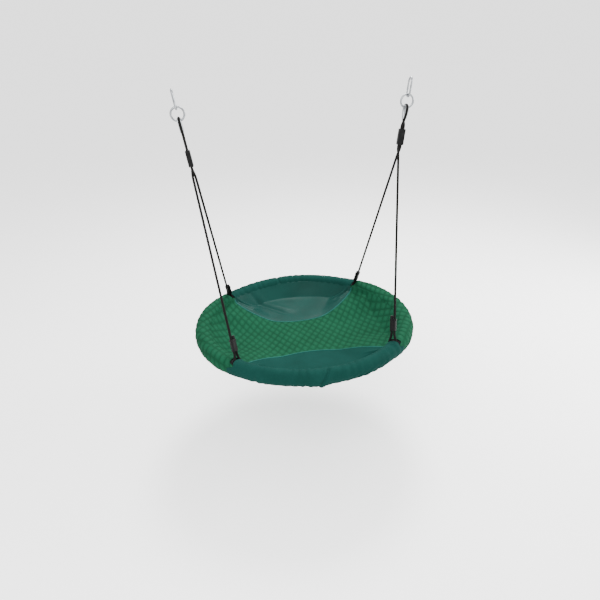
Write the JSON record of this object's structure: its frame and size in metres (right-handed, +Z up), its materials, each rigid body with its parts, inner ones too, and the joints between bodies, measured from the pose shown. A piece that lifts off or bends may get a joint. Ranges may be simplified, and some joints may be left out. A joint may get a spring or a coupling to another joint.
{
  "type": "saucer nest swing",
  "caption": "Round padded nest seat of quilted cloth on a tube ring, hung from two sides by rope legs with slide adjusters, clamped eyes, rings and snap hooks",
  "frame": {"origin": "midway between the points where the two snap hooks hang, at the height of those points", "axes": "+Z up, +X from the left ropes to the right ropes, -Y to the front, which is the side nearer the viewer"},
  "size_m": [0.9999, 0.9998, 1.1409],
  "materials": {
    "rope": "braided cord, matt",
    "black_plastic": "moulded, fine texture",
    "zinc_steel": "zinc plated",
    "galvanised_tube": "galvanised",
    "foam": "closed-cell foam",
    "green_quilt": "diamond-quilted, soft sheen",
    "teal_cloth": "smooth coated cloth, satin",
    "piping": "woven edging",
    "hook_and_loop": "napped strip"
  },
  "bodies": {
    "hangers": {"left_snap_hook": "zinc_steel", "left_gate_pin": "zinc_steel", "right_snap_hook": "zinc_steel", "right_gate_pin": "zinc_steel"},
    "left_gate": {"left_gate": "zinc_steel"},
    "right_gate": {"right_gate": "zinc_steel"},
    "rings": {"left_hanging_ring": "zinc_steel", "right_hanging_ring": "zinc_steel"},
    "left_ropes": {"left_rope": "rope", "left_thimble": "zinc_steel", "left_rope_clamp": "black_plastic"},
    "right_ropes": {"right_rope": "rope", "right_thimble": "zinc_steel", "right_rope_clamp": "black_plastic"},
    "seat": {"back_binding": "piping", "back_panel": "teal_cloth", "back_rim_cover": "teal_cloth", "centre_panel": "green_quilt", "closure_strips": "hook_and_loop", "foam_sleeve_1": "foam", "foam_sleeve_2": "foam", "foam_sleeve_3": "foam", "foam_sleeve_4": "foam", "foam_sleeve_5": "foam", "foam_sleeve_6": "foam", "foam_sleeve_7": "foam", "foam_sleeve_8": "foam", "front_binding": "piping", "front_panel": "teal_cloth", "front_rim_cover": "teal_cloth", "left_rim_cover": "green_quilt", "right_rim_cover": "green_quilt", "ring_tube_1": "galvanised_tube", "ring_tube_2": "galvanised_tube", "ring_tube_3": "galvanised_tube", "ring_tube_4": "galvanised_tube", "tube_screws": "zinc_steel"},
    "front_left_adjuster": {"front_left_adjuster": "black_plastic", "front_left_rope_stopper": "black_plastic", "front_left_rope_tail": "rope"},
    "back_left_adjuster": {"back_left_adjuster": "black_plastic", "back_left_rope_stopper": "black_plastic", "back_left_rope_tail": "rope"},
    "front_right_adjuster": {"front_right_adjuster": "black_plastic", "front_right_rope_stopper": "black_plastic", "front_right_rope_tail": "rope"},
    "back_right_adjuster": {"back_right_adjuster": "black_plastic", "back_right_rope_stopper": "black_plastic", "back_right_rope_tail": "rope"}
  },
  "joints": [
    {"name": "left_gate_hinge", "type": "hinge", "parent": "hangers", "child": "left_gate", "pos_m": [-0.46618, 0.016, -0.05203], "axis": [0.991, 0, 0.134], "range_deg": [0, 28], "stiffness_Nm_per_rad": 0.2, "springref_deg": -28.65},
    {"name": "right_gate_hinge", "type": "hinge", "parent": "hangers", "child": "right_gate", "pos_m": [0.46618, 0.016, -0.05203], "axis": [0.991, 0, -0.134], "range_deg": [0, 28], "stiffness_Nm_per_rad": 0.2, "springref_deg": -28.65},
    {"name": "seat_swing", "type": "hinge", "parent": "hangers", "child": "rings", "pos_m": [0, 0, -0.05896], "axis": [1, 0, 0], "range_deg": [-45, 45]},
    {"name": "side_sway", "type": "hinge", "parent": "rings", "child": "left_ropes", "pos_m": [-0.45982, 0, -0.09905], "axis": [0, 1, 0], "range_deg": [-3.5, 3.5]},
    {"name": "seat_tilt", "type": "hinge", "parent": "left_ropes", "child": "seat", "pos_m": [-0.33093, 0, -1.05237], "axis": [0, 1, 0], "range_deg": [-4.9, 4.9]},
    {"name": "right_rope_sway", "type": "hinge", "parent": "seat", "child": "right_ropes", "pos_m": [0.33093, 0, -1.05237], "axis": [0, 1, 0], "range_deg": [-4.9, 4.9]},
    {"name": "front_left_adjust", "type": "slide", "parent": "left_ropes", "child": "front_left_adjuster", "axis": [-0.1232, 0.4178, 0.9001], "range_m": [0, 0.12], "deforming": ["front_left_rope_tail"]},
    {"name": "back_left_adjust", "type": "slide", "parent": "left_ropes", "child": "back_left_adjuster", "axis": [-0.1091, -0.4178, 0.902], "range_m": [0, 0.12], "deforming": ["back_left_rope_tail"]},
    {"name": "front_right_adjust", "type": "slide", "parent": "right_ropes", "child": "front_right_adjuster", "axis": [0.1176, 0.3969, 0.9103], "range_m": [0, 0.12], "deforming": ["front_right_rope_tail"]},
    {"name": "back_right_adjust", "type": "slide", "parent": "right_ropes", "child": "back_right_adjuster", "axis": [0.1176, -0.3969, 0.9103], "range_m": [0, 0.12], "deforming": ["back_right_rope_tail"]}
  ],
  "couplings": [
    {"joint": "seat_tilt", "follows": "side_sway", "ratio": -1.3895},
    {"joint": "right_rope_sway", "follows": "side_sway", "ratio": 1.3895}
  ]
}
